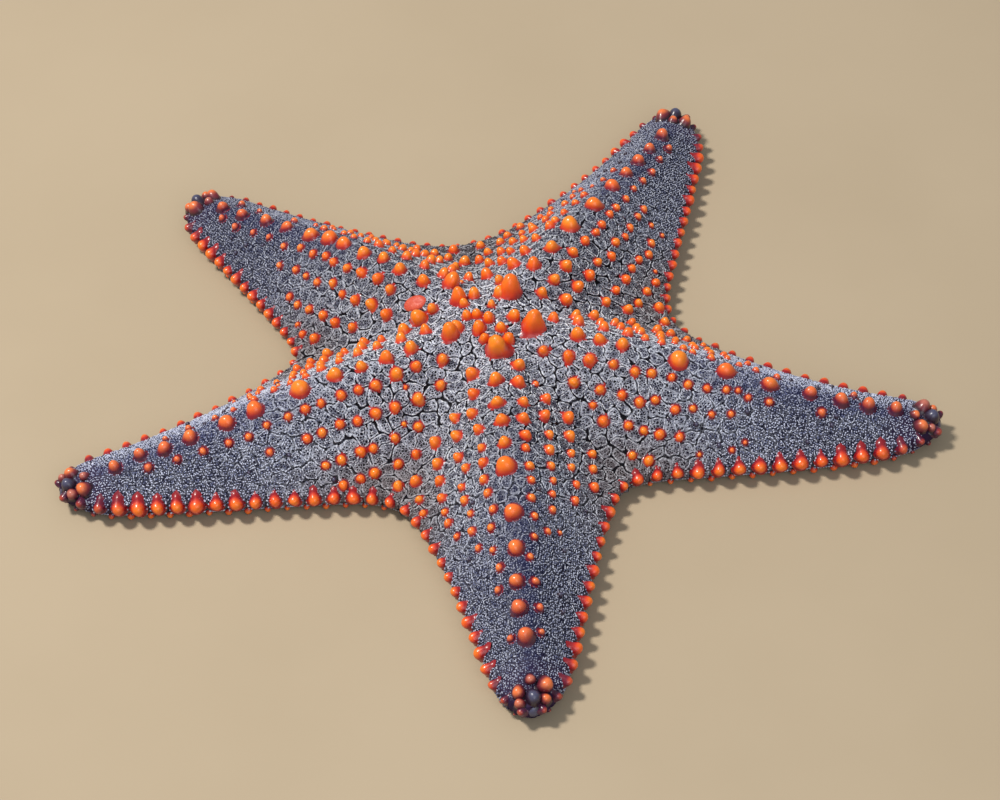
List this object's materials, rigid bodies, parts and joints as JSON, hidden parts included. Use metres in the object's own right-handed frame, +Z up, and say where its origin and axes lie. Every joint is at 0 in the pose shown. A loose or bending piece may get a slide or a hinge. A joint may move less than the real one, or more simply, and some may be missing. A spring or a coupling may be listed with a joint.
{
  "type": "starfish",
  "caption": "Life-size knobbly starfish lying flat, with a domed disc, tapering arms, orange tubercles and a sieve plate.",
  "frame": {"origin": "middle of the footprint, on the floor that the underside rests on", "axes": "+Z up through the disc; +X runs towards the right arm and -Y towards the front arm"},
  "size_m": [0.2636, 0.2477, 0.0351],
  "materials": {
    "skin": "wet granular skin with pale granules on near-black, darker along the ridges",
    "tip_skin": "wet, smooth, dark purple",
    "tubercle": "wet and glossy, orange with deep red or purple bases",
    "sieve_plate": "finely grooved, reddish orange"
  },
  "bodies": {
    "root": {"disc": "skin", "arm_left": "skin", "tip_left": "tip_skin", "arm_back_left": "skin", "tip_back_left": "tip_skin", "arm_back_right": "skin", "tip_back_right": "tip_skin", "arm_right": "skin", "tip_right": "tip_skin", "arm_front": "skin", "tip_front": "tip_skin", "madreporite": "sieve_plate"}
  },
  "joints": []
}
